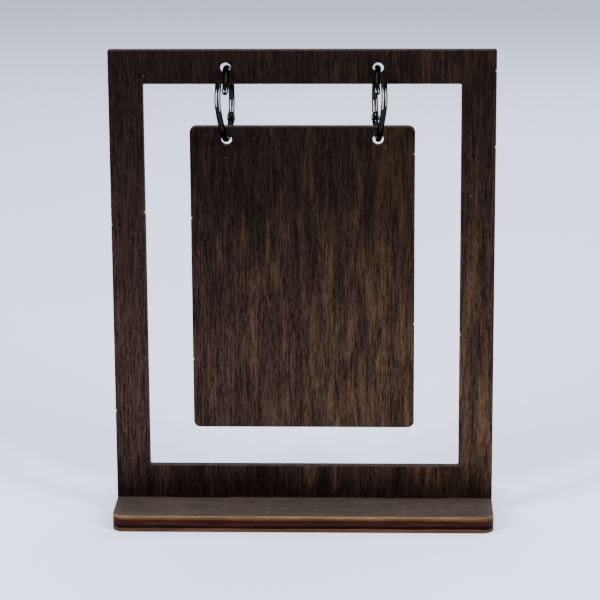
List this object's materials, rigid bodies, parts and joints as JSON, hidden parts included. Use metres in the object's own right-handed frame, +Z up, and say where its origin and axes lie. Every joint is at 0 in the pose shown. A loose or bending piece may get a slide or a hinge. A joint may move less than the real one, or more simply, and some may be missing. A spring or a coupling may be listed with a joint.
{
  "type": "photo album stand",
  "caption": "Desk stand: an upright wooden window frame on a flat base, with a photo board hanging in the window from hinged wire rings.",
  "frame": {"origin": "middle of the base's underside", "axes": "+X to the stand's right as seen from its front, +Y from the front to the back, +Z up"},
  "size_m": [0.18, 0.06, 0.225],
  "materials": {
    "base_plywood": "dark stained plywood, satin, rubbed grey-brown on top, with the plies showing red-brown and tan at the edges",
    "frame_plywood": "dark wenge-stained plywood, satin, upright grain with fine golden streaks",
    "board_plywood": "dark wenge-stained plywood, satin, upright grain with golden-brown streaks",
    "black_nickel": "glossy black nickel plating on steel wire"
  },
  "bodies": {
    "stand": {"base_bottom_sheet": "base_plywood", "base_top_sheet": "base_plywood", "upright_frame": "frame_plywood"},
    "left_ring_upper": {"left_ring_upper_half": "black_nickel", "left_ring_hinge_rivet": "black_nickel"},
    "left_ring_lower": {"left_ring_lower_half": "black_nickel"},
    "right_ring_upper": {"right_ring_upper_half": "black_nickel", "right_ring_hinge_rivet": "black_nickel"},
    "right_ring_lower": {"right_ring_lower_half": "black_nickel"},
    "board": {"hanging_board": "board_plywood"}
  },
  "joints": [
    {"name": "left_ring_swing", "type": "hinge", "parent": "stand", "child": "left_ring_upper", "pos_m": [-0.0353, 0, 0.21615], "axis": [1, 0, 0], "range_deg": [-12, 12]},
    {"name": "right_ring_swing", "type": "hinge", "parent": "stand", "child": "right_ring_upper", "pos_m": [0.0353, 0, 0.21615], "axis": [1, 0, 0], "range_deg": [-12, 12]},
    {"name": "left_ring_open", "type": "hinge", "parent": "left_ring_upper", "child": "left_ring_lower", "pos_m": [-0.0353, 0.01363, 0.19042], "axis": [1, 0, 0], "range_deg": [0, 45]},
    {"name": "right_ring_open", "type": "hinge", "parent": "right_ring_upper", "child": "right_ring_lower", "pos_m": [0.0353, 0.01363, 0.19042], "axis": [1, 0, 0], "range_deg": [0, 45]},
    {"name": "board_flip", "type": "hinge", "parent": "left_ring_lower", "child": "board", "pos_m": [0, 0, 0.19965], "axis": [-1, 0, 0], "range_deg": [-25, 35]}
  ],
  "couplings": [
    {"joint": "right_ring_swing", "follows": "left_ring_swing", "ratio": 1},
    {"joint": "right_ring_open", "follows": "left_ring_open", "ratio": 1}
  ]
}
